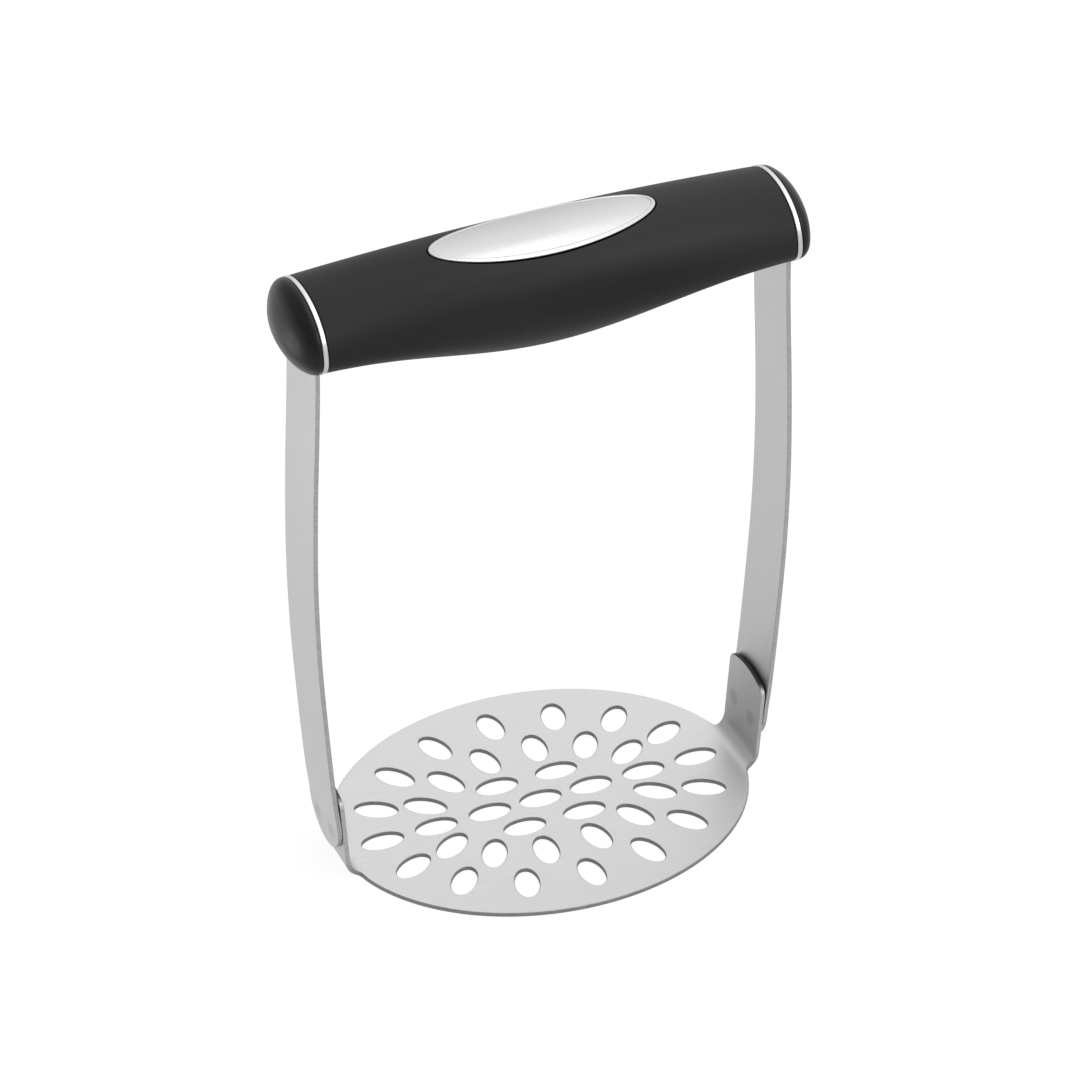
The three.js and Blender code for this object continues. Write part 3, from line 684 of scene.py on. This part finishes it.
# -------------------------------------------------------------------- materials
class Look:
    """A Principled material and small helpers that hang procedural detail on it."""

    def __init__(self, name, colour, roughness, metallic=0.0, **more):
        self.material = bpy.data.materials.new(name)
        self.material.use_nodes = True
        self.nodes = self.material.node_tree.nodes
        self.links = self.material.node_tree.links
        self.shader = self.nodes["Principled BSDF"]
        self.colour, self.bumps = (*colour, 1.0), None
        self.set("Base Color", self.colour)
        self.set("Roughness", roughness)
        self.set("Metallic", metallic)
        for socket, value in more.items():
            self.set(socket.replace("_", " ").title().replace("Ior", "IOR"), value)

    def set(self, socket, value):
        self.shader.inputs[socket].default_value = value

    def noise(self, scale, stretch=(1, 1, 1), detail=3.0, uv=False):
        """Noise with so many cells in a metre, stretched along the axes."""
        if uv:
            source = self.nodes.new("ShaderNodeUVMap")
            source.uv_map = "Sheet"
            vector = source.outputs["UV"]
        else:
            source = self.nodes.new("ShaderNodeTexCoord")
            vector = source.outputs["Object"]
        mapping = self.nodes.new("ShaderNodeMapping")
        mapping.inputs["Scale"].default_value = stretch
        noise = self.nodes.new("ShaderNodeTexNoise")
        noise.inputs["Scale"].default_value = scale
        noise.inputs["Detail"].default_value = detail
        self.links.new(vector, mapping.inputs["Vector"])
        self.links.new(mapping.outputs["Vector"], noise.inputs["Vector"])
        return noise.outputs["Fac"]

    def mark(self, name):
        node = self.nodes.new("ShaderNodeAttribute")
        node.attribute_name = name
        return node.outputs["Fac"]

    def near_weld(self, out):
        """One at the middle of each spot weld, fading to nothing at its edge."""
        x, z = beside_tab(out, WELD_ALONG)
        source = self.nodes.new("ShaderNodeTexCoord")
        folded, gap = self.nodes.new("ShaderNodeVectorMath"), self.nodes.new("ShaderNodeVectorMath")
        folded.operation, gap.operation = "ABSOLUTE", "DISTANCE"
        gap.inputs[1].default_value = (x * MM, WELD_Y * MM, z * MM)
        self.links.new(source.outputs["Object"], folded.inputs[0])
        self.links.new(folded.outputs["Vector"], gap.inputs[0])
        return self.ranged(gap.outputs["Value"], 1, 0, 0.0015, 0.0027)

    def ranged(self, value, low, high, start=0.3, stop=0.7):
        node = self.nodes.new("ShaderNodeMapRange")
        for socket, number in (("From Min", start), ("From Max", stop), ("To Min", low), ("To Max", high)):
            node.inputs[socket].default_value = number
        self.links.new(value, node.inputs["Value"])
        return node.outputs["Result"]

    def maths(self, kind, a, b):
        node = self.nodes.new("ShaderNodeMath")
        node.operation = kind
        for socket, value in zip(node.inputs, (a, b)):
            if isinstance(value, (int, float)):
                socket.default_value = value
            else:
                self.links.new(value, socket)
        return node.outputs["Value"]

    def mix(self, share, first, second):
        node = self.nodes.new("ShaderNodeMix")
        node.data_type = "RGBA"
        self.links.new(share, node.inputs["Factor"])
        for socket, value in ((node.inputs[6], first), (node.inputs[7], second)):
            if isinstance(value, tuple):
                socket.default_value = (*value[:3], 1.0)
            else:
                self.links.new(value, socket)
        return node.outputs[2]

    def paint(self, output):
        self.links.new(output, self.shader.inputs["Base Color"])

    def rough(self, output):
        self.links.new(output, self.shader.inputs["Roughness"])

    def bump(self, height, distance, strength=1.0):
        node = self.nodes.new("ShaderNodeBump")
        node.inputs["Distance"].default_value = distance
        node.inputs["Strength"].default_value = strength
        self.links.new(height, node.inputs["Height"])
        if self.bumps is not None:
            self.links.new(self.bumps, node.inputs["Normal"])
        self.bumps = node.outputs["Normal"]
        self.links.new(self.bumps, self.shader.inputs["Normal"])


def grey(value):
    return (value, value, value)


def brushed_sheet(name, face, smooth, dull, weld_out):
    """Satin stainless sheet: grain along the sheet, dull sheared edges, polished head edge."""
    look = Look(name, grey(face), (smooth + dull) / 2, 1.0)
    grain = look.noise(1.0, (90, 6200, 1), 4.0, uv=True)
    cloud = look.noise(55.0, detail=2.0)
    fleck = look.noise(1600.0, detail=2.0)
    body = look.mix(look.ranged(cloud, 0, 1), grey(face * 0.975), grey(face * 1.02))
    body = look.mix(look.ranged(grain, 0, 0.35), body, grey(face * 0.86))
    # The cut edges take the grey carried by the mesh, which on the plate holds painted shade and painted
    # light.
    cut, edge_grey_and_painted_shading, polish = look.mark("cut"), look.mark("edge_grey_and_painted_shading"), look.mark("polish")
    rubbed = look.maths("SUBTRACT", 1.0, look.maths("MULTIPLY", polish, 0.8))
    edge = look.maths("MULTIPLY", edge_grey_and_painted_shading, look.maths("ADD", 1.0, look.maths(
        "MULTIPLY", rubbed, look.ranged(fleck, -0.12, 0.12))))
    weld = look.near_weld(weld_out)
    body = look.mix(weld, body, grey(face * 0.8))
    sheared = look.ranged(cut, 0, 1, 0.1, 0.6)
    look.paint(look.mix(sheared, body, edge))
    base = look.maths("ADD", look.ranged(grain, smooth, dull), look.ranged(cloud, -0.03, 0.03))
    base = look.maths("ADD", base, look.maths("MULTIPLY", sheared, look.maths(
        "SUBTRACT", 0.12, look.maths("MULTIPLY", polish, 0.26))))
    look.rough(base)
    look.bump(grain, 0.00002, 0.25)
    look.bump(weld, -0.00008, 0.6)
    look.bump(look.maths("MULTIPLY", fleck, look.maths("MULTIPLY", sheared, rubbed)), 0.00006, 0.4)
    return look.material


def soft_touch(name, colour, roughness, level):
    """Moulded soft-touch rubber with a fine matte texture and faint handling marks."""
    look = Look(name, grey(colour), roughness, 0.0, specular_ior_level=level)
    fine, cloud = look.noise(4200.0, detail=3.0), look.noise(45.0, (0.3, 1.6, 1.6), 2.0)
    look.paint(look.mix(look.ranged(cloud, 0, 1), grey(colour * 0.6), grey(colour * 1.35)))
    look.rough(look.maths("ADD", look.ranged(fine, roughness - 0.05, roughness + 0.05),
                          look.ranged(cloud, 0.05, -0.05)))
    look.bump(fine, 0.00008, 0.35)
    look.bump(look.noise(700.0, detail=1.0), 0.00005, 0.25)
    return look.material


def moulded(name, colour, roughness, grain=2600.0, level=0.5):
    """Injection-moulded plastic: nearly smooth, with a faint skin and small scuffs."""
    look = Look(name, grey(colour), roughness, 0.0, specular_ior_level=level)
    skin_noise, scuff = look.noise(grain, detail=2.0), look.noise(180.0, (1, 1, 3), 5.0)
    look.paint(look.mix(look.ranged(scuff, 0, 1, 0.55, 0.8), grey(colour), grey(colour * 1.35)))
    look.rough(look.maths("ADD", look.ranged(scuff, roughness - 0.03, roughness + 0.06),
                          look.ranged(skin_noise, -0.02, 0.02)))
    look.bump(skin_noise, 0.00003, 0.2)
    return look.material


def plain_metal(name, colour, smooth, dull, stretch, scale=1.0, anisotropic=0.0):
    """Metal with a directional finish in the object's own axes."""
    look = Look(name, colour, (smooth + dull) / 2, 1.0, anisotropic=anisotropic)
    grain, cloud = look.noise(scale, stretch, 4.0), look.noise(90.0, detail=2.0)
    dark = tuple(c * 0.9 for c in colour)
    look.paint(look.mix(look.ranged(grain, 0, 0.5), colour, dark))
    look.rough(look.maths("ADD", look.ranged(grain, smooth, dull), look.ranged(cloud, -0.02, 0.02)))
    look.bump(grain, 0.00001, 0.2)
    return look.material


PLATE_STEEL = brushed_sheet("plate_steel", 0.48, 0.42, 0.50, BEND_RADIUS)
ARM_STEEL = brushed_sheet("arm_steel", 0.485, 0.34, 0.44, WELD_OUT + SHEET)
SOFT_GRIP = soft_touch("soft_grip", 0.007, 0.56, 0.20)
CAP_PLASTIC = moulded("cap_plastic", 0.004, 0.34, level=0.2)
CORE_PLASTIC = moulded("core_plastic", 0.09, 0.50)
BADGE_METAL = plain_metal("badge_metal", grey(0.43), 0.24, 0.32, (60, 6000, 6000), 1.0, 0.3)
SCREW_STEEL = plain_metal("screw_steel", (0.62, 0.61, 0.58), 0.28, 0.42, (1800, 1800, 1800))
WELD_STEEL = plain_metal("weld_steel", (0.42, 0.40, 0.37), 0.40, 0.60, (900, 900, 900))
ADHESIVE = soft_touch("adhesive", 0.03, 0.75, 0.4)


# ----------------------------------------------------------------------- pieces
make_piece("plate_sheet", plate_patches(), "mashing_plate", PLATE_STEEL)
arm, cap = arm_patches(), cap_patches()
make_piece("right_arm_strap", arm, "right_arm", ARM_STEEL)
make_piece("left_arm_strap", arm, "left_arm", ARM_STEEL, mirror=True)
make_piece("grip_skin", grip_patches(), "grip_sleeve", SOFT_GRIP)
make_piece("badge_oval", badge_patches(), "badge_plate", BADGE_METAL)
make_piece("right_cap_dome", cap, "right_end_cap", CAP_PLASTIC)
make_piece("left_cap_dome", cap, "left_end_cap", CAP_PLASTIC, mirror=True)

for name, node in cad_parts.items():
    if node.hide_render:
        continue
    finish = CORE_PLASTIC
    if name.endswith("screw"):
        finish = SCREW_STEEL
    elif name.endswith("weld_nugget"):
        finish = WELD_STEEL
    elif name == "badge_adhesive":
        finish = ADHESIVE
    node.data.materials.clear()
    node.data.materials.append(finish)


# ------------------------------------------------------------------------ stage
def stage_floor():
    mesh = bpy.data.meshes.new("floor")
    reach = 12.0
    corners = [(-reach, -reach, 0), (reach, -reach, 0), (reach, reach, 0), (-reach, reach, 0)]
    mesh.from_pydata(corners, [], [(0, 1, 2, 3)])
    floor = bpy.data.objects.new("floor", mesh)
    look = Look("floor_white", grey(FLOOR_COLOUR), 0.9)
    look.set("Specular IOR Level", 0.0)
    look.set("Emission Color", (1, 1, 1, 1))
    look.set("Emission Strength", FLOOR_GLOW)
    mesh.materials.append(look.material)
    bpy.context.scene.collection.objects.link(floor)


def softbox(name, place, aim, size, power):
    data = bpy.data.lights.new(name, "AREA")
    data.shape = "RECTANGLE"
    data.size, data.size_y = size
    data.energy = power
    lamp = bpy.data.objects.new(name, data)
    lamp.location = place
    lamp.rotation_euler = (Vector(aim) - Vector(place)).to_track_quat("-Z", "Y").to_euler()
    lamp.visible_camera = False
    bpy.context.scene.collection.objects.link(lamp)


def sky(zenith, wall, horizon, left, right, strength):
    """Even studio walls and ceiling, brighter overhead and towards the right."""
    world = bpy.data.worlds.new("studio")
    bpy.context.scene.world = world
    world.use_nodes = True
    nodes, links = world.node_tree.nodes, world.node_tree.links
    coordinates = nodes.new("ShaderNodeTexCoord")
    parts = nodes.new("ShaderNodeSeparateXYZ")
    ramp = nodes.new("ShaderNodeValToRGB")
    stops = ((0.0, horizon), (0.08, horizon), (0.586, wall), (1.0, zenith))
    while len(ramp.color_ramp.elements) < len(stops):
        ramp.color_ramp.elements.new(0.5)
    for element, (where, value) in zip(ramp.color_ramp.elements, stops):
        element.position, element.color = where, (value, value, value, 1)
    side = nodes.new("ShaderNodeMapRange")
    side.interpolation_type = "SMOOTHSTEP"
    for socket, number in (("From Min", -0.5), ("From Max", 0.4), ("To Min", left), ("To Max", right)):
        side.inputs[socket].default_value = number
    both, scaled = nodes.new("ShaderNodeMath"), nodes.new("ShaderNodeMath")
    both.operation = scaled.operation = "MULTIPLY"
    scaled.inputs[1].default_value = strength
    links.new(coordinates.outputs["Generated"], parts.inputs[0])
    links.new(parts.outputs["Z"], ramp.inputs["Fac"])
    links.new(parts.outputs["X"], side.inputs["Value"])
    links.new(ramp.outputs["Color"], both.inputs[0])
    links.new(side.outputs["Result"], both.inputs[1])
    links.new(both.outputs["Value"], scaled.inputs[0])
    links.new(scaled.outputs["Value"], nodes["Background"].inputs["Strength"])
    nodes["Background"].inputs["Color"].default_value = (1, 1, 1, 1)


FLOOR_COLOUR, FLOOR_GLOW = 0.07, 0.92
stage_floor()
sky(zenith=1.0, wall=0.81, horizon=0.58, left=0.42, right=1.0, strength=2.0)
softbox("overhead", (0.1, 0.0, 2.2), (0, 0, 0.1), (1.6, 1.2), 9.0)
softbox("front_high", (0.5, -1.6, 1.5), (0, 0, 0.1), (1.2, 0.9), 14.0)
softbox("low_left", (-0.30, 0.12, 0.02), (-0.06, 0, 0.157), (0.13, 0.13), 0.16)

# ----------------------------------------------------------------------- camera
AIM = Vector((-0.0002, 0.0, 0.0805))
AZIMUTH, ELEVATION, ROLL = math.radians(-23.576), math.radians(35.85), math.radians(0.059)
DISTANCE = 1.3986
LENS = 193.5

view = bpy.data.cameras.new("camera")
view.lens, view.sensor_width = LENS, 36.0
view.clip_start, view.clip_end = 0.05, 60.0
camera = bpy.data.objects.new("camera", view)
back = Vector((math.sin(AZIMUTH) * math.cos(ELEVATION),
               -math.cos(AZIMUTH) * math.cos(ELEVATION),
               math.sin(ELEVATION)))
turned = (-back).to_track_quat("-Z", "Y").to_matrix() @ Matrix.Rotation(ROLL, 3, "Z")
camera.matrix_world = Matrix.Translation(AIM + back * DISTANCE) @ turned.to_4x4()
bpy.context.scene.collection.objects.link(camera)
bpy.context.scene.camera = camera
bpy.context.scene.view_settings.view_transform = "Standard"
